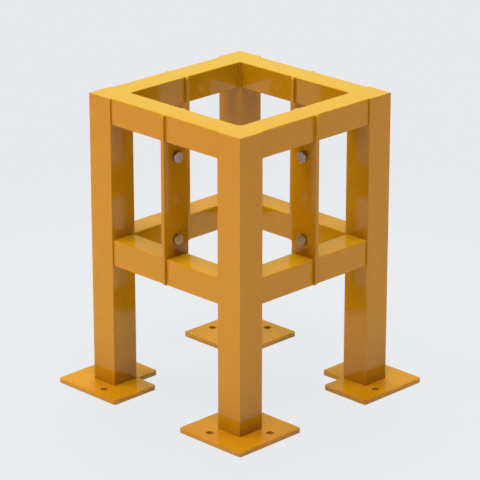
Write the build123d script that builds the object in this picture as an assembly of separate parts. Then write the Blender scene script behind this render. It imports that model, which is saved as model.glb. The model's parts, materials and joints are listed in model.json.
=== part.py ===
# A rack column guard: four corner modules of welded square tube, bolted together at flanges
# half way along each side, so that the guard can be closed around a standing column.
# The guard stands on four base plates. X runs to the right, Y to the back, Z up, and the
# origin is on the floor in the middle of the column space.
import os
from math import radians, tan

from build123d import *

# The whole guard, in millimetres
overall_height = 912
outer_width = 620            # across the outer faces of the posts

# Posts, of square hollow section, and the caps that close them
post_width = 90
post_wall = 5
post_corner_radius = 1.5
cap_thickness = 5
cap_edge_cut = 1

# Rails, of a smaller square hollow section, in line with the posts' centres
rail_width = 80
rail_wall = 4
rail_corner_radius = 3
lower_rail_underside = 397

# Base plates, with a notch at the inner corner that leaves the column space open
base_thickness = 15
base_outer_margin = 76       # from a post's outer face to the plate's edge
base_inner_margin = 83       # from a post's inner face to the plate's edge
base_corner_radius = 8
notch_clearance = 2          # from a post's inner faces to the notch
notch_corner_radius = 3
anchor_hole_diameter = 22
anchor_edge_distance = 39    # from the plate's outer edge to a hole's centre
anchor_offset = 40           # from the post's centre line to a hole's centre

# Flange plates, back to back in pairs, that close the rails' ends
flange_thickness = 6
flange_overlap = 8           # past each side of the rails
flange_corner_cut = 5
bolt_to_rail = 52.5          # from a rail to the nearest bolt's centre

# Hexagon bolts, with a nut on each
bolt_diameter = 20
bolt_hole_clearance = 2
head_across_flats = 30
head_height = 12.5
head_chamfer_angle = 30
nut_height = 18
nut_bore_clearance = 0.2
bolt_end_projection = 6      # past the nut

# Places that follow from the sizes
post_centre = (outer_width - post_width) / 2
post_inner_face = outer_width / 2 - post_width
top_rail_underside = overall_height - rail_width
lower_rail_top = lower_rail_underside + rail_width
flange_height = overall_height - lower_rail_underside
flange_middle = lower_rail_underside + flange_height / 2
flange_width = rail_width + 2 * flange_overlap
bolt_heights = [lower_rail_top + bolt_to_rail, top_rail_underside - bolt_to_rail]
head_radius = head_across_flats / 2

# The corners and the sides, each a quarter turn on from the one before. A side has two halves,
# the first on its left and the second on its right as the front side is seen from outside.
quarter = 90
corners = ["front_right", "back_right", "back_left", "front_left"]
sides = [("front", "left", "right"), ("right", "front", "back"),
         ("back", "right", "left"), ("left", "back", "front")]

upward = (Align.CENTER, Align.CENTER, Align.MIN)


def square_tube(side, wall, corner_radius, length):
    """A square hollow section standing on the XY plane, open at both ends."""
    bore = side - 2 * wall
    section = RectangleRounded(side, side, corner_radius) - Rectangle(bore, bore)
    return extrude(section, amount=length)


def post():
    """The front right post's tube, from its base plate to its cap."""
    length = overall_height - cap_thickness - base_thickness
    tube = square_tube(post_width, post_wall, post_corner_radius, length)
    return Pos(post_centre, -post_centre, base_thickness) * tube


def post_cap():
    """The plate that closes the front right post. Its two outer edges, clear of the rails, are cut."""
    outline = RectangleRounded(post_width, post_width, post_corner_radius)
    cap = extrude(outline, amount=cap_thickness)
    outer_edges = [edge for edge in cap.edges().group_by(Axis.Z)[-1]
                   if edge.center().X - edge.center().Y >= post_width / 2]
    cap = chamfer(outer_edges, min(cap_edge_cut, cap_thickness / 2))
    return Pos(post_centre, -post_centre, overall_height - cap_thickness) * cap


def base_plate():
    """The front right base plate, with its notch, rounded corners and two anchor holes."""
    outer_reach = post_width / 2 + base_outer_margin
    inner_reach = post_width / 2 + base_inner_margin
    width = outer_reach + inner_reach
    shift = (outer_reach - inner_reach) / 2
    notch_start = post_width / 2 + notch_clearance
    notch_width = inner_reach - notch_start
    notch_middle = (inner_reach + notch_start) / 2
    plan = Pos(shift, -shift) * Rectangle(width, width)
    plan -= Pos(-notch_middle, notch_middle) * Rectangle(notch_width, notch_width)
    plan = fillet(plan.vertices().sort_by_distance((0, 0, 0))[1:], base_corner_radius)
    plan = fillet(plan.vertices().sort_by_distance((0, 0, 0))[0], notch_corner_radius)
    across = outer_reach - anchor_edge_distance
    for place in (Pos(-anchor_offset, -across), Pos(across, anchor_offset)):
        plan -= place * Circle(anchor_hole_diameter / 2)
    return Pos(post_centre, -post_centre) * extrude(plan, amount=base_thickness)


def rail(direction, underside):
    """Half a rail of the front side, from its flange plate to its post, left for -1 and right for 1."""
    length = post_inner_face - flange_thickness
    tube = square_tube(rail_width, rail_wall, rail_corner_radius, length)
    start = Pos(direction * flange_thickness, -post_centre, underside + rail_width / 2)
    return start * Rot(0, direction * quarter, 0) * tube


def flange_plate(direction):
    """A flange plate of the front side, from the lower rail's underside to the top rail's top."""
    outline = Rectangle(flange_height, flange_width)
    outline = chamfer(outline.vertices(), flange_corner_cut)
    for height in bolt_heights:
        outline -= Pos(flange_middle - height, 0) * Circle((bolt_diameter + bolt_hole_clearance) / 2)
    plate = Rot(0, quarter, 0) * extrude(outline, amount=flange_thickness)
    if direction < 0:
        plate = mirror(plate, about=Plane.YZ)
    return Pos(0, -post_centre, flange_middle) * plate


def hexagon(height):
    """A hexagon standing on the XY plane."""
    return extrude(RegularPolygon(head_radius, 6, major_radius=False), amount=height)


def hexagon_bolt():
    """A bolt along Z, with its head below the XY plane, its corners cut back to a round, and its shank above."""
    widening = head_height / tan(radians(head_chamfer_angle))
    cut = Cone(head_radius + widening, head_radius, head_height, align=upward)
    head = Rot(180, 0, 0) * (hexagon(head_height) & cut)
    length = 2 * flange_thickness + nut_height + bolt_end_projection
    return head + Cylinder(bolt_diameter / 2, length, align=upward)


def hexagon_nut():
    """A nut along Z, standing on the XY plane."""
    bore = Cylinder((bolt_diameter + nut_bore_clearance) / 2, nut_height, align=upward)
    return hexagon(nut_height) - bore


def fasteners():
    """All bolts and nuts. The heads are on the front right and back left modules."""
    groups = {"flange_bolts": [], "flange_nuts": []}
    for turn in range(len(sides)):
        head_side = 1 if turn % 2 == 0 else -1
        toward_nut = Rot(0, -quarter * head_side, 0)
        for height in bolt_heights:
            joint = Rot(0, 0, quarter * turn) * Pos(0, -post_centre, height)
            head_face = joint * Pos(head_side * flange_thickness) * toward_nut
            nut_face = joint * Pos(-head_side * flange_thickness) * toward_nut
            groups["flange_bolts"].append(head_face * hexagon_bolt())
            groups["flange_nuts"].append(nut_face * hexagon_nut())
    return {name: Compound(children=solids) for name, solids in groups.items()}


def build_parts():
    """Every piece of the guard, by name."""
    parts = {}
    for turn, corner in enumerate(corners):
        around = Rot(0, 0, quarter * turn)
        parts[f"post_{corner}"] = around * post()
        parts[f"post_cap_{corner}"] = around * post_cap()
        parts[f"base_plate_{corner}"] = around * base_plate()
    for turn, (side, first_half, second_half) in enumerate(sides):
        around = Rot(0, 0, quarter * turn)
        for half, direction in ((first_half, -1), (second_half, 1)):
            parts[f"top_rail_{side}_{half}"] = around * rail(direction, top_rail_underside)
            parts[f"lower_rail_{side}_{half}"] = around * rail(direction, lower_rail_underside)
            parts[f"flange_{side}_{half}"] = around * flange_plate(direction)
    return parts | fasteners()


os.makedirs("parts", exist_ok=True)
for name, shape in build_parts().items():
    export_step(shape, f"parts/{name}.step")
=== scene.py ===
import json
import math

import bmesh
import bpy
from bpy.props import FloatProperty, FloatVectorProperty, IntProperty, PointerProperty
from mathutils import Matrix, Vector


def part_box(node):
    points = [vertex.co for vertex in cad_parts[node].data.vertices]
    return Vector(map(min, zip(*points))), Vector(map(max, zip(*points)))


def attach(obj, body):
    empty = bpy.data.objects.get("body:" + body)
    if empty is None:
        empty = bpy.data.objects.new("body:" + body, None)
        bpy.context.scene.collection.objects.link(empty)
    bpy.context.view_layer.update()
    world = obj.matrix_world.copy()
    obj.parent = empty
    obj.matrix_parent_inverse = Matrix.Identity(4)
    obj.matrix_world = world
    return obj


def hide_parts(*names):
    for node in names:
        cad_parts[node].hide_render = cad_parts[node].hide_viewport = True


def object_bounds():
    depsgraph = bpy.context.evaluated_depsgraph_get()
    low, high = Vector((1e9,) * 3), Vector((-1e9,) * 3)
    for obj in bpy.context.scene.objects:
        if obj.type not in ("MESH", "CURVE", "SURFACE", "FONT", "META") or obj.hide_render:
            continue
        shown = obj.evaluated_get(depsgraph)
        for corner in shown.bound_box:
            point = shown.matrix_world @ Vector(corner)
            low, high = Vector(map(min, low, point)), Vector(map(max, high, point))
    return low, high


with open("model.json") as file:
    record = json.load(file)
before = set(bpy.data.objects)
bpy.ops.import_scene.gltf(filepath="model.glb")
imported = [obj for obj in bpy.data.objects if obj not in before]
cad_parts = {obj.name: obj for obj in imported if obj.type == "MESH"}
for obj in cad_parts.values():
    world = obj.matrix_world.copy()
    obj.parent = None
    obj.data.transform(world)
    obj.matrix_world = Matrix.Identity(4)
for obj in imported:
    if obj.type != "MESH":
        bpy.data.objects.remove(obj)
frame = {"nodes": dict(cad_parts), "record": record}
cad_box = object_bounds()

bl_info = {
    "name": "Rack Column Guard",
    "version": (1, 0, 0),
    "blender": (4, 5, 0),
    "location": "3D View > Sidebar > Column Guard",
    "description": "Finishes a bolted steel guard for a rack column and lights it in a plain studio",
    "category": "Add Mesh",
}

CORNERS = {"front_right": (1, -1), "back_right": (1, 1),
           "back_left": (-1, 1), "front_left": (-1, -1)}
SIDES = [("front", "left", "right"), ("right", "front", "back"),
         ("back", "right", "left"), ("left", "back", "front")]
QUARTER = math.radians(90)
SIXTH = math.radians(60)
MILLIMETRE = 0.001

# Small forms of the plates, bolts and nuts
SQUARE_EDGE = math.radians(60)    # only plate edges sharper than this are rounded
CREASE = math.radians(25)         # edges of bolts and nuts sharper than this stay creased
SAME_PLACE = MILLIMETRE / 1000    # points closer together than this are one point
CORNER_TRIM = 0.2 * MILLIMETRE    # cut off the points of a hexagon
DISH = 0.05 * MILLIMETRE          # hollow in a hexagon's seat, so that no two of its rings are level
CHAMFER_SLOPE = math.tan(math.radians(30))
CHAMFER_ROUND = 0.95              # the round inside a chamfer, as a share of the width across flats


def linear(hex_colour):
    """An sRGB hex colour as linear red, green and blue."""
    channels = [int(hex_colour[place:place + 2], 16) / 255 for place in (1, 3, 5)]
    return tuple(channel / 12.92 if channel <= 0.04045 else ((channel + 0.055) / 1.055) ** 2.4
                 for channel in channels)


def length(name, description, default):
    """A length property, with its default in millimetres."""
    return FloatProperty(name=name, description=description, default=default * MILLIMETRE,
                         min=0.0, subtype="DISTANCE", unit="LENGTH", precision=4)


def colour(name, description, default):
    """A colour property, with its default as a hex value."""
    return FloatVectorProperty(name=name, description=description, default=linear(default),
                               min=0.0, max=1.0, subtype="COLOR")


class GuardSizes(bpy.types.PropertyGroup):
    """Edge and fastener sizes, and the steps of their circles. The main sizes come from the frame."""

    base_corner: length("Base plate corner", "Radius of the base plates' corners", 8)
    notch_clearance: length("Notch clearance", "From a post's inner faces to the plate's notch", 2)
    notch_corner: length("Notch corner", "Radius of the notch's inner corner", 3)
    rim: length("Rim", "Rounding of the base plates' rims", 1.5)
    cap_corner: length("Cap corner", "Radius of the posts' vertical edges", 1.5)
    cap_edge: length("Cap edge", "Rounding of the caps' outer edges", 1)
    flange_corner: length("Flange corner", "Cut at the flange plates' corners", 5)
    flange_edge: length("Flange edge", "Rounding of the flange plates' outer edges", 0.8)
    flange_hole: length("Flange hole", "Diameter of the holes for the flange bolts", 22)
    across_flats: length("Across flats", "Width of the bolt heads and nuts", 30)
    head_height: length("Head height", "Height of the bolt heads", 12.5)
    nut_height: length("Nut height", "Height of the nuts", 18)
    bolt_diameter: length("Bolt diameter", "Outside diameter of the bolts' thread", 20)
    thread_pitch: length("Thread pitch", "Rise of the thread in one turn", 2.5)
    bolt_past_nut: length("Bolt past nut", "Length of bolt that stands out of the nut", 6)
    segments: IntProperty(name="Segments", description="Steps round a full circle", default=72, min=24)


class GuardColours(bpy.types.PropertyGroup):
    """Colours of the finishes and of the studio."""

    paint: colour("Powder coat", "Yellow powder coat on all tubes and plates", "#D9960F")
    paint_shade: colour("Powder coat shade", "The coat where it lies a little thicker", "#D6920D")
    # Painted shade: a darker colour that the coat shows only to bounce light, so faces near it come out
    # darker in corners and between parts
    painted_shade_bounce: colour("Powder coat bounce", "Colour that the coat passes on to faces near it",
                         "#8A3A05")
    zinc: colour("Zinc", "Zinc plating on the bolts and nuts", "#B6BBBA")
    backdrop: colour("Backdrop", "Floor and background", "#E9EAEC")
    backdrop_high: colour("High backdrop", "Background overhead, dark in the gloss", "#404244")
    warm_light: colour("Warm light", "Colour of the lamps round the guard", "#FFEDD8")
    cool_light: colour("Cool light", "Colour of the lamp just above the guard", "#38FFF8")


class StudioLight(bpy.types.PropertyGroup):
    """Levels of the light. At a level of 1, a colour renders about as it is written."""

    front: FloatProperty(name="Front", description="Light on the front side", default=0.215, min=0.0)
    left: FloatProperty(name="Left", description="Light on the left side", default=0.3, min=0.0)
    high: FloatProperty(name="High", description="Light from the high lamps together",
                        default=1.57, min=0.0)
    overhead: FloatProperty(name="Overhead", description="Cool light from just above",
                            default=0.6, min=0.0)
    shadow: FloatProperty(name="Floor shadow", description="How much of the shadow the floor shows",
                          default=0.06, min=0.0, max=1.0, subtype="FACTOR")


def add_node(tree, kind, values=None, links=None, **settings):
    """Adds a node with its own settings, its sockets' values and the outputs that feed its sockets."""
    node = tree.nodes.new(kind)
    for name, setting in settings.items():
        setattr(node, name, setting)
    for socket, value in (values or {}).items():
        node.inputs[socket].default_value = value
    for socket, source in (links or {}).items():
        tree.links.new(source, node.inputs[socket])
    return node


def new_material(name):
    """An empty node material."""
    material = bpy.data.materials.new(name)
    material.use_nodes = True
    material.node_tree.nodes.clear()
    return material, material.node_tree


def polyester_powder_coat(colours):
    """Polyester powder coat on steel, sprayed dry and baked. It flows into a thick, even, glossy skin
    with a faint orange peel, a little deeper in colour where it lies thicker."""
    peel_width = 3 * MILLIMETRE       # real peel is about 1.5 mm, too fine to show
    peel_depth = 0.01 * MILLIMETRE
    drift_width = 90 * MILLIMETRE     # the spray's uneven build from stroke to stroke
    least_rough, most_rough = 0.05, 0.09
    resin_ior, surface_shine = 1.45, 0.42
    material, tree = new_material("polyester_powder_coat")
    place = add_node(tree, "ShaderNodeTexCoord").outputs["Object"]
    drift = add_node(tree, "ShaderNodeTexNoise", {"Scale": 1 / drift_width, "Detail": 2.0},
                     {"Vector": place}).outputs["Fac"]
    tone = add_node(tree, "ShaderNodeMix",
                    {"A": (*colours.paint, 1), "B": (*colours.paint_shade, 1)},
                    {"Factor": drift}, data_type="RGBA")
    # Painted shade: light bouncing off the coat takes the darker bounce colour, which darkens corners,
    # seams and faces between parts
    rays = add_node(tree, "ShaderNodeLightPath")
    tone = add_node(tree, "ShaderNodeMix", {"B": (*colours.painted_shade_bounce, 1)},
                    {"Factor": rays.outputs["Is Diffuse Ray"], "A": tone.outputs["Result"]},
                    data_type="RGBA")
    gloss = add_node(tree, "ShaderNodeMapRange", {"To Min": least_rough, "To Max": most_rough},
                     {"Value": drift})
    peel = add_node(tree, "ShaderNodeTexNoise", {"Scale": 1 / peel_width, "Detail": 1.0},
                    {"Vector": place})
    bump = add_node(tree, "ShaderNodeBump", {"Strength": 1.0, "Distance": peel_depth},
                    {"Height": peel.outputs["Fac"]})
    shader = add_node(tree, "ShaderNodeBsdfPrincipled",
                      {"IOR": resin_ior, "Specular IOR Level": surface_shine},
                      {"Base Color": tone.outputs["Result"], "Roughness": gloss.outputs["Result"],
                       "Normal": bump.outputs["Normal"]})
    add_node(tree, "ShaderNodeOutputMaterial", links={"Surface": shader.outputs["BSDF"]})
    return material


def electroplated_zinc(colours):
    """Electroplated zinc on forged steel: a thin, dull, slightly cloudy metal."""
    cloud_width = 5 * MILLIMETRE
    grain_width = 0.6 * MILLIMETRE
    grain_depth = 0.01 * MILLIMETRE
    least_rough, most_rough = 0.14, 0.28
    material, tree = new_material("electroplated_zinc")
    place = add_node(tree, "ShaderNodeTexCoord").outputs["Object"]
    cloud = add_node(tree, "ShaderNodeTexNoise", {"Scale": 1 / cloud_width, "Detail": 3.0},
                     {"Vector": place})
    dull = add_node(tree, "ShaderNodeMapRange", {"To Min": least_rough, "To Max": most_rough},
                    {"Value": cloud.outputs["Fac"]})
    grain = add_node(tree, "ShaderNodeTexNoise", {"Scale": 1 / grain_width, "Detail": 1.0},
                     {"Vector": place})
    bump = add_node(tree, "ShaderNodeBump", {"Strength": 1.0, "Distance": grain_depth},
                    {"Height": grain.outputs["Fac"]})
    shader = add_node(tree, "ShaderNodeBsdfPrincipled",
                      {"Base Color": (*colours.zinc, 1), "Metallic": 1.0},
                      {"Roughness": dull.outputs["Result"], "Normal": bump.outputs["Normal"]})
    add_node(tree, "ShaderNodeOutputMaterial", links={"Surface": shader.outputs["BSDF"]})
    return material


def seen_rays(tree):
    """An output that is 1 for what is seen, straight, in gloss or through glass, and 0 for the light
    that surfaces pass on."""
    rays = add_node(tree, "ShaderNodeLightPath").outputs
    seen = add_node(tree, "ShaderNodeMath",
                    links={0: rays["Is Camera Ray"], 1: rays["Is Glossy Ray"]}, operation="MAXIMUM")
    seen = add_node(tree, "ShaderNodeMath",
                    links={0: seen.outputs[0], 1: rays["Is Transmission Ray"]}, operation="MAXIMUM")
    return seen.outputs[0]


def studio_paper(colours, light):
    """The floor's paper. It shows the backdrop's colour to the camera and in gloss, and part of the
    shadow close to the guard. Further out it takes no light from the lamps that stand there."""
    high_share, overhead_share = 0.73, 0.15   # of the lamps' levels, on the open floor near the guard
    shadow_reach, plain_reach = 1.0, 2.2      # how far out the shadow starts to fade, and ends
    material, tree = new_material("studio_paper")
    place = add_node(tree, "ShaderNodeTexCoord").outputs["Object"]
    distance = add_node(tree, "ShaderNodeVectorMath", links={0: place}, operation="LENGTH")
    evenness = add_node(tree, "ShaderNodeMapRange",
                        {"From Min": shadow_reach, "From Max": plain_reach, "To Min": 1 - light.shadow},
                        {"Value": distance.outputs["Value"]}, interpolation_type="SMOOTHSTEP")
    plain = add_node(tree, "ShaderNodeMath",
                     links={0: seen_rays(tree), 1: evenness.outputs["Result"]}, operation="MULTIPLY")
    lit = [light.high * high_share * warm + light.overhead * overhead_share * cool
           for warm, cool in zip(colours.warm_light, colours.cool_light)]
    evened = [back * (1 - light.shadow * level) / (1 - light.shadow)
              for back, level in zip(colours.backdrop, lit)]
    paper = add_node(tree, "ShaderNodeBsdfDiffuse", {"Color": (*colours.backdrop, 1)})
    glow = add_node(tree, "ShaderNodeEmission", {"Color": (*evened, 1), "Strength": 1.0})
    mix = add_node(tree, "ShaderNodeMixShader",
                   links={0: plain.outputs[0], 1: paper.outputs["BSDF"], 2: glow.outputs["Emission"]})
    add_node(tree, "ShaderNodeOutputMaterial", links={"Surface": mix.outputs["Shader"]})
    return material


def material_named(name):
    """A finish by its name, made when it is first asked for."""
    makers = {"polyester_powder_coat": polyester_powder_coat, "electroplated_zinc": electroplated_zinc}
    return bpy.data.materials.get(name) or makers[name](bpy.context.scene.guard_colours)


def finished_piece(name, mesh_maker, material, nodes):
    """Makes an object from a finished bmesh, puts it on the frame's body and hides the nodes that
    it stands for."""
    mesh = bpy.data.meshes.new(name)
    bmesh.ops.remove_doubles(mesh_maker, verts=mesh_maker.verts, dist=SAME_PLACE)
    bmesh.ops.recalc_face_normals(mesh_maker, faces=mesh_maker.faces)
    mesh_maker.to_mesh(mesh)
    mesh_maker.free()
    mesh.materials.append(material_named(material))
    piece = bpy.data.objects.new(name, mesh)
    bpy.context.scene.collection.objects.link(piece)
    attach(piece, "root")
    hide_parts(*nodes)


def post_middle(corner):
    """The centre line of a corner's post, on the floor."""
    low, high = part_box("post_" + corner)
    return Vector(((low.x + high.x) / 2, (low.y + high.y) / 2, 0))


def flat_outline(points):
    """A bmesh with one flat face through the points."""
    maker = bmesh.new()
    maker.faces.new([maker.verts.new((*point, 0)) for point in points])
    return maker


def round_corners(maker, chosen, radius, steps=8):
    """Rounds the chosen corners of a flat face."""
    bmesh.ops.bevel(maker, geom=chosen, affect="VERTICES", offset=radius, offset_type="OFFSET",
                    segments=steps, profile=0.5, material=-1)


def cut_holes(maker, centres, diameter):
    """Cuts round holes in a flat face."""
    bmesh.ops.delete(maker, geom=list(maker.faces), context="FACES_ONLY")
    steps = bpy.context.scene.guard_sizes.segments // 2
    for centre in centres:
        bmesh.ops.create_circle(maker, segments=steps, radius=diameter / 2,
                                matrix=Matrix.Translation((*centre, 0)))
    bmesh.ops.triangle_fill(maker, use_beauty=True, use_dissolve=False, edges=list(maker.edges),
                            normal=(0, 0, 1))


def thicken(maker, thickness):
    """Raises a flat sheet into a closed plate that stands on the XY plane."""
    made = bmesh.ops.extrude_face_region(maker, geom=list(maker.faces))
    raised = [item for item in made["geom"] if isinstance(item, bmesh.types.BMVert)]
    bmesh.ops.translate(maker, verts=raised, vec=(0, 0, thickness))
    bmesh.ops.recalc_face_normals(maker, faces=maker.faces)


def sharp_edges(maker, test):
    """The square edges between two faces whose middle passes the test."""
    return [edge for edge in maker.edges
            if len(edge.link_faces) == 2 and edge.calc_face_angle() > SQUARE_EDGE
            and test((edge.verts[0].co + edge.verts[1].co) / 2)]


def ease(maker, edges, radius, steps=3):
    """Rounds edges, and shades only the rounding as a curve."""
    made = bmesh.ops.bevel(maker, geom=edges, affect="EDGES", offset=radius, offset_type="OFFSET",
                           segments=steps, profile=0.5, material=-1)
    for face in made["faces"]:
        face.smooth = True


class GUARD_OT_tubes(bpy.types.Operator):
    """Gives the posts and rails their powder coat"""

    bl_idname = "guard.tubes"
    bl_label = "Coat Posts and Rails"

    def execute(self, context):
        coat = material_named("polyester_powder_coat")
        for name, node in frame["nodes"].items():
            if name.startswith(("post_", "top_rail_", "lower_rail_")):
                node.data.materials.clear()
                node.data.materials.append(coat)
        return {"FINISHED"}


class GUARD_OT_caps(bpy.types.Operator):
    """Makes the posts' caps, with their outer edges rounded"""

    bl_idname = "guard.caps"
    bl_label = "Make Post Caps"

    def execute(self, context):
        sizes = context.scene.guard_sizes
        for corner, outward in CORNERS.items():
            node = "post_cap_" + corner
            low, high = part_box(node)
            half = (high.x - low.x) / 2
            thickness = high.z - low.z
            maker = flat_outline([(-half, -half), (half, -half), (half, half), (-half, half)])
            round_corners(maker, list(maker.verts), sizes.cap_corner)
            thicken(maker, thickness)
            outer = sharp_edges(maker, lambda middle: middle.z > thickness / 2
                                and middle.x * outward[0] + middle.y * outward[1] > half / 2)
            ease(maker, outer, sizes.cap_edge)
            bmesh.ops.translate(maker, verts=maker.verts,
                                vec=post_middle(corner) + Vector((0, 0, low.z)))
            finished_piece("cap_" + corner, maker, "polyester_powder_coat", [node])
        return {"FINISHED"}


class GUARD_OT_base_plates(bpy.types.Operator):
    """Makes the notched base plates with their anchor holes and rounded rims"""

    bl_idname = "guard.base_plates"
    bl_label = "Make Base Plates"

    def execute(self, context):
        sizes = context.scene.guard_sizes
        mounts = {mount["name"]: mount["dims"] for mount in frame["record"]["mounts"]}
        patterns = [mounts["anchor_holes_front_and_back"], mounts["anchor_holes_left_and_right"]]
        for corner, outward in CORNERS.items():
            node = "base_plate_" + corner
            low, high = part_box(node)
            post_low, post_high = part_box("post_" + corner)
            away = Vector(outward)
            middle = post_middle(corner).xy
            far, near = max(abs(low.x), abs(high.x)), min(abs(low.x), abs(high.x))
            notch = min(abs(post_low.x), abs(post_high.x)) - sizes.notch_clearance
            outline = [(far, far), (near, far), (near, notch), (notch, notch), (notch, near), (far, near)]
            maker = flat_outline([(x * away.x, y * away.y) for x, y in outline])
            corners = sorted(maker.verts, key=lambda vert: (vert.co.xy - middle).length)
            round_corners(maker, corners[1:], sizes.base_corner)
            inner = min(maker.verts, key=lambda vert: (vert.co.xy - middle).length)
            round_corners(maker, [inner], sizes.notch_corner, steps=4)
            centres = [(away.x * dims["spacing_x_mm"] / 2 * MILLIMETRE,
                        away.y * dims["spacing_y_mm"] / 2 * MILLIMETRE) for dims in patterns]
            cut_holes(maker, centres, 2 * patterns[0]["hole_r_mm"] * MILLIMETRE)
            thicken(maker, high.z - low.z)
            ease(maker, sharp_edges(maker, lambda point: True), sizes.rim)
            finished_piece("floor_plate_" + corner, maker, "polyester_powder_coat",
                           [node])
        return {"FINISHED"}


def side_turn(turn):
    """Turns the front side on to another side."""
    return Matrix.Rotation(QUARTER * turn, 4, "Z")


def bolt_heights():
    """The heights of the two bolts of a side."""
    low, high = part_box("flange_bolts")
    point = bpy.context.scene.guard_sizes.across_flats / 2 / math.cos(SIXTH / 2)
    return low.z + point, high.z - point


class GUARD_OT_flanges(bpy.types.Operator):
    """Makes the flange plates with cut corners, bolt holes and rounded outer edges"""

    bl_idname = "guard.flanges"
    bl_label = "Make Flange Plates"

    def execute(self, context):
        sizes = context.scene.guard_sizes
        low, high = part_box("flange_front_right")
        across, along, cut = (high.y - low.y) / 2, (high.z - low.z) / 2, sizes.flange_corner
        middle = (low.z + high.z) / 2
        outline = [(along, across - cut), (along - cut, across),
                   (cut - along, across), (-along, across - cut),
                   (-along, cut - across), (cut - along, -across),
                   (along - cut, -across), (along, cut - across)]
        holes = [Vector((middle - height, 0)) for height in bolt_heights()]
        upright = Matrix.Rotation(QUARTER, 4, "Y")
        place = Matrix.Translation((0, (low.y + high.y) / 2, middle))
        for turn, (side, first, second) in enumerate(SIDES):
            for half, direction in ((first, -1), (second, 1)):
                maker = flat_outline(outline)
                cut_holes(maker, holes, sizes.flange_hole)
                thicken(maker, high.x - low.x)
                # The edges round the holes and those level with the rails' tops stay square.
                eased = sharp_edges(maker, lambda point: point.x + along > SAME_PLACE
                                    and all((point.xy - hole).length > sizes.flange_hole
                                            for hole in holes))
                ease(maker, eased, sizes.flange_edge)
                mirrored = Matrix.Diagonal((direction, 1, 1, 1))
                bmesh.ops.transform(maker, verts=maker.verts,
                                    matrix=side_turn(turn) @ place @ mirrored @ upright)
                finished_piece(f"flange_plate_{side}_{half}", maker, "polyester_powder_coat",
                               [f"flange_{side}_{half}"])
        return {"FINISHED"}


def ring(maker, height, radius, flats=None, drop=0.0):
    """A closed ring of edges round Z. With flats it follows a hexagon no wider than the radius, and its
    points fall away from the height by the drop for each unit that they stand outside the flats."""
    steps = bpy.context.scene.guard_sizes.segments
    made = bmesh.ops.create_circle(maker, segments=steps, radius=radius)
    for vert in made["verts"]:
        vert.co.z = height
        if flats:
            angle = math.atan2(vert.co.y, vert.co.x) % SIXTH - SIXTH / 2
            reach = min(radius, flats / 2 / math.cos(angle))
            vert.co.xy *= reach / radius
            vert.co.z -= drop * (reach - flats / 2)
    return list({edge for vert in made["verts"] for edge in vert.link_edges})


def join_rings(maker, rings, closed=False):
    """Bridges each ring to the next, and the last to the first where the shape is closed."""
    pairs = list(zip(rings, rings[1:] + rings[:1] if closed else rings[1:]))
    for first, second in pairs:
        bmesh.ops.bridge_loops(maker, edges=first + second)


def smooth_by_angle(maker, limit):
    """Shades curved stretches smooth, and leaves creases sharper than the limit."""
    for face in maker.faces:
        face.smooth = True
    for edge in maker.edges:
        if len(edge.link_faces) == 2:
            edge.smooth = edge.calc_face_angle() < limit


def place_copies(maker, places):
    """Replaces the shape by a copy at each place."""
    shape = list(maker.verts) + list(maker.edges) + list(maker.faces)
    first = list(maker.verts)
    for place in places[1:]:
        made = bmesh.ops.duplicate(maker, geom=shape)
        copied = [item for item in made["geom"] if isinstance(item, bmesh.types.BMVert)]
        bmesh.ops.transform(maker, verts=copied, matrix=place)
    bmesh.ops.transform(maker, verts=first, matrix=places[0])


def bolt_places(facing_nut):
    """Where each bolt's head meets its flange, or each nut's. Z points from the head to the nut."""
    front_low, front_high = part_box("flange_front_right")
    thickness = front_high.x - front_low.x
    axis = (front_low.y + front_high.y) / 2
    places = []
    for turn in range(len(SIDES)):
        head_side = 1 if turn % 2 == 0 else -1
        face = -head_side * thickness if facing_nut else head_side * thickness
        for height in bolt_heights():
            places.append(side_turn(turn) @ Matrix.Translation((face, axis, height))
                          @ Matrix.Rotation(-QUARTER * head_side, 4, "Y"))
    return places


def add_thread(maker, sizes, end):
    """A screw thread on the shank, from the head's open seat to the bolt's end, where it is cut back
    to a cone."""
    pitch = sizes.thread_pitch
    depth = 0.6 * pitch
    root_width = 0.2 * pitch
    crest_width = pitch / 8
    crest_middle = (pitch + root_width) / 2
    end_cut = 2 * MILLIMETRE
    turn_seam = 0.02 * MILLIMETRE     # points of one turn and the next closer than this are joined
    crest = sizes.bolt_diameter / 2
    root = crest - depth
    steps = bpy.context.scene.guard_sizes.segments // 2
    turns = math.ceil(end / pitch) + 1
    rises = [(root, 0), (root, root_width), (crest, crest_middle - crest_width / 2),
             (crest, crest_middle + crest_width / 2), (root, pitch)]
    thread = bmesh.new()
    verts = [thread.verts.new((radius, 0, rise - pitch)) for radius, rise in rises]
    edges = [thread.edges.new(pair) for pair in zip(verts, verts[1:])]
    bmesh.ops.spin(thread, geom=verts + edges, cent=(0, 0, 0), axis=(0, 0, 1),
                   dvec=(0, 0, pitch / steps), angle=2 * math.pi * turns, steps=steps * turns,
                   use_merge=False)
    bmesh.ops.remove_doubles(thread, verts=thread.verts, dist=turn_seam)
    for height, outward in ((end, 1), (0, -1)):
        bmesh.ops.bisect_plane(thread, geom=thread.verts[:] + thread.edges[:] + thread.faces[:],
                               plane_co=(0, 0, height), plane_no=(0, 0, outward), clear_outer=True)
    for vert in thread.verts:
        allowed = root + min(depth, max(0.0, end - end_cut + depth - vert.co.z))
        if vert.co.xy.length > allowed:
            vert.co.xy *= allowed / vert.co.xy.length
    end_outline = [edge for edge in thread.edges if edge.is_boundary and edge.verts[0].co.z > end / 2]
    bmesh.ops.holes_fill(thread, edges=end_outline, sides=0)
    joined = bpy.data.meshes.new("thread")
    thread.to_mesh(joined)
    thread.free()
    maker.from_mesh(joined)
    bpy.data.meshes.remove(joined)
    seat_outlines = [edge for edge in maker.edges if edge.is_boundary]
    bmesh.ops.triangle_fill(maker, use_beauty=True, use_dissolve=False, edges=seat_outlines,
                            normal=(0, 0, 1))


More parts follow.
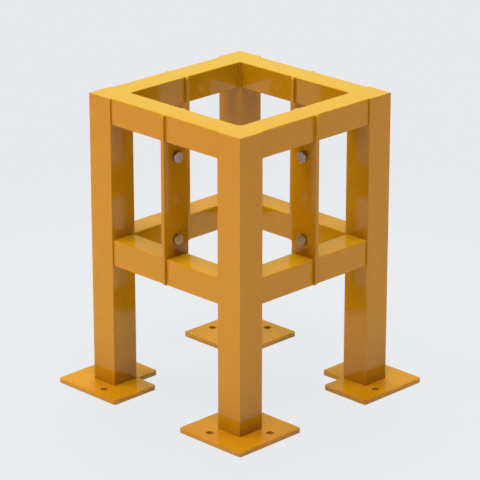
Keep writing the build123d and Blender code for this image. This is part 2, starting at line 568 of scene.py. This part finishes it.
def hexagon_end(flats):
    """Of a hexagon with trimmed points and a chamfered end: the reach of its points, the radius of the
    round inside the chamfer, and how far the chamfer falls from that round to the flats."""
    end_round = flats / 2 * CHAMFER_ROUND
    point = flats / 2 / math.cos(SIXTH / 2) - CORNER_TRIM
    return point, end_round, CHAMFER_SLOPE * (flats / 2 - end_round)


class GUARD_OT_bolts(bpy.types.Operator):
    """Makes the flange bolts, with washer faces, chamfered heads and a cut thread"""

    bl_idname = "guard.bolts"
    bl_label = "Make Flange Bolts"

    def execute(self, context):
        sizes = context.scene.guard_sizes
        flats = sizes.across_flats
        point, end_round, fall = hexagon_end(flats)
        seat_depth, seat_inset = 0.8 * MILLIMETRE, 1.2 * MILLIMETRE
        seat = flats / 2 - seat_inset
        front_low, front_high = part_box("flange_front_right")
        grip = 2 * (front_high.x - front_low.x)
        maker = bmesh.new()
        rings = [
            ring(maker, 0, seat),
            ring(maker, DISH - seat_depth, seat),
            ring(maker, -seat_depth, point, flats),
            ring(maker, fall - sizes.head_height, point, flats, -CHAMFER_SLOPE),
            ring(maker, -sizes.head_height, end_round),
        ]
        join_rings(maker, rings)
        bmesh.ops.contextual_create(maker, geom=rings[-1])
        add_thread(maker, sizes, grip + sizes.nut_height + sizes.bolt_past_nut)
        smooth_by_angle(maker, CREASE)
        place_copies(maker, bolt_places(facing_nut=False))
        finished_piece("hexagon_bolts", maker, "electroplated_zinc", ["flange_bolts"])
        return {"FINISHED"}


class GUARD_OT_nuts(bpy.types.Operator):
    """Makes the flange nuts, chamfered at both ends"""

    bl_idname = "guard.nuts"
    bl_label = "Make Flange Nuts"

    def execute(self, context):
        sizes = context.scene.guard_sizes
        flats, tall = sizes.across_flats, sizes.nut_height
        point, end_round, fall = hexagon_end(flats)
        thread_clearance = 0.1 * MILLIMETRE
        mouth_cut = 0.8 * MILLIMETRE
        bore = sizes.bolt_diameter / 2 + thread_clearance
        mouth = bore + mouth_cut
        maker = bmesh.new()
        rings = [
            ring(maker, DISH + mouth_cut, bore),
            ring(maker, DISH, mouth),
            ring(maker, 0, end_round),
            ring(maker, fall, point, flats, -CHAMFER_SLOPE),
            ring(maker, tall - fall, point, flats, CHAMFER_SLOPE),
            ring(maker, tall, end_round),
            ring(maker, tall - DISH, mouth),
            ring(maker, tall - DISH - mouth_cut, bore),
        ]
        join_rings(maker, rings, closed=True)
        smooth_by_angle(maker, CREASE)
        place_copies(maker, bolt_places(facing_nut=True))
        finished_piece("hexagon_nuts", maker, "electroplated_zinc", ["flange_nuts"])
        return {"FINISHED"}


def softbox(name, place, target, size, level, tint):
    """A square area lamp that gives the target about the level of light, when it faces the lamp.
    Gloss shows the background and not the lamp."""
    lamp = bpy.data.lights.new(name, "AREA")
    lamp.size = size
    lamp.color = tint
    reach = (Vector(place) - Vector(target)).length
    lamp.energy = level * math.pi ** 2 * reach ** 2
    box = bpy.data.objects.new(name, lamp)
    box.location = place
    box.visible_camera = False
    box.visible_glossy = False
    box.rotation_euler = (Vector(target) - Vector(place)).to_track_quat("-Z", "Y").to_euler()
    bpy.context.scene.collection.objects.link(box)


def direction(azimuth, elevation):
    """From the middle towards a place round the guard. Azimuth 0 is the front, and 90 the right."""
    turn, rise = math.radians(azimuth), math.radians(elevation)
    return Vector((math.sin(turn) * math.cos(rise), -math.cos(turn) * math.cos(rise), math.sin(rise)))


def add_floor(scene, colours, light):
    """A plain floor that reaches far past the view."""
    reach = 60.0
    maker = bmesh.new()
    bmesh.ops.create_grid(maker, x_segments=1, y_segments=1, size=reach)
    mesh = bpy.data.meshes.new("studio_floor")
    maker.to_mesh(mesh)
    maker.free()
    mesh.materials.append(studio_paper(colours, light))
    floor = bpy.data.objects.new("studio_floor", mesh)
    scene.collection.objects.link(floor)


def add_lamps(colours, light):
    """Low softboxes in front and on the left, four high ones round the guard, and a cool one just above
    it, over the back left post."""
    middle = Vector((0, 0, cad_box[1].z / 2))
    low_size, high_size, overhead_size = 2.5, 6.0, 1.4
    high_reach, overhead_height = 15.0, 2.5
    softbox("front_softbox", (-0.8, -7.0, 1.5), middle, low_size, light.front, colours.warm_light)
    softbox("left_softbox", (-7.0, 1.0, 1.5), middle, low_size, light.left, colours.warm_light)
    for name, azimuth, elevation, share in (("near", 45, 75, 0.37), ("far", 225, 60, 0.33),
                                            ("left", 315, 60, 0.2), ("right", 135, 60, 0.1)):
        softbox(f"{name}_high_softbox", middle + direction(azimuth, elevation) * high_reach, middle,
                high_size, light.high * share, colours.warm_light)
    softbox("overhead_softbox", post_middle("back_left") + Vector((0, 0, overhead_height)), middle,
            overhead_size, light.overhead, colours.cool_light)


def add_background(scene, colours):
    """The background, which is only seen and gives no light. It is plain low down and dark overhead."""
    darkest_from = 0.64       # the sine of the elevation above which it gets no darker
    world = bpy.data.worlds.new("studio")
    scene.world = world
    world.use_nodes = True
    tree = world.node_tree
    tree.nodes.clear()
    heading = add_node(tree, "ShaderNodeTexCoord").outputs["Generated"]
    height = add_node(tree, "ShaderNodeSeparateXYZ", links={0: heading}).outputs["Z"]
    fade = add_node(tree, "ShaderNodeMapRange", {"From Max": darkest_from}, {"Value": height})
    wall = add_node(tree, "ShaderNodeMix",
                    {"A": (*colours.backdrop, 1), "B": (*colours.backdrop_high, 1)},
                    {"Factor": fade.outputs["Result"]}, data_type="RGBA")
    backdrop = add_node(tree, "ShaderNodeBackground",
                        links={"Color": wall.outputs["Result"], "Strength": seen_rays(tree)})
    add_node(tree, "ShaderNodeOutputWorld", links={"Surface": backdrop.outputs[0]})


def add_camera(scene):
    """The camera, with a long lens, that looks at the guard's front right corner from a little above."""
    azimuth, elevation, distance = 45, 20.07, 7.9615
    target = Vector((0, 0, 0.4565))
    back = direction(azimuth, elevation)
    lens = bpy.data.cameras.new("camera")
    lens.sensor_width = 36.0
    lens.lens = 201.84
    lens.clip_end = 200.0
    camera = bpy.data.objects.new("camera", lens)
    camera.location = target + back * distance
    camera.rotation_euler = (-back).to_track_quat("-Z", "Y").to_euler()
    scene.collection.objects.link(camera)
    scene.camera = camera


class GUARD_OT_stage(bpy.types.Operator):
    """Makes the floor, the lamps, the background and the camera"""

    bl_idname = "guard.stage"
    bl_label = "Make Stage"

    def execute(self, context):
        scene = context.scene
        add_floor(scene, scene.guard_colours, scene.studio_light)
        add_lamps(scene.guard_colours, scene.studio_light)
        add_background(scene, scene.guard_colours)
        add_camera(scene)
        scene.view_settings.view_transform = "Standard"
        return {"FINISHED"}


class GUARD_PT_panel(bpy.types.Panel):
    """Lists the guard's pieces and sizes"""

    bl_label = "Column Guard"
    bl_idname = "GUARD_PT_panel"
    bl_space_type = "VIEW_3D"
    bl_region_type = "UI"
    bl_category = "Column Guard"

    def draw(self, context):
        for group in GROUPS:
            settings = getattr(context.scene, group)
            box = self.layout.box()
            for name in settings.__annotations__:
                box.prop(settings, name)
        for operator in OPERATORS:
            self.layout.operator(operator.bl_idname)


GROUPS = {"guard_sizes": GuardSizes, "guard_colours": GuardColours, "studio_light": StudioLight}
OPERATORS = (GUARD_OT_tubes, GUARD_OT_caps, GUARD_OT_base_plates, GUARD_OT_flanges, GUARD_OT_bolts,
             GUARD_OT_nuts, GUARD_OT_stage)


def register():
    """Adds the classes, and their settings to every scene."""
    for cls in (*GROUPS.values(), *OPERATORS, GUARD_PT_panel):
        bpy.utils.register_class(cls)
    for name, group in GROUPS.items():
        setattr(bpy.types.Scene, name, PointerProperty(type=group))


def unregister():
    """Takes the settings and the classes away again."""
    for name in GROUPS:
        delattr(bpy.types.Scene, name)
    for cls in reversed((*GROUPS.values(), *OPERATORS, GUARD_PT_panel)):
        bpy.utils.unregister_class(cls)


def main():
    register()
    bpy.ops.guard.tubes()
    bpy.ops.guard.caps()
    bpy.ops.guard.base_plates()
    bpy.ops.guard.flanges()
    bpy.ops.guard.bolts()
    bpy.ops.guard.nuts()
    bpy.ops.guard.stage()


if __name__ == "__main__":
    main()
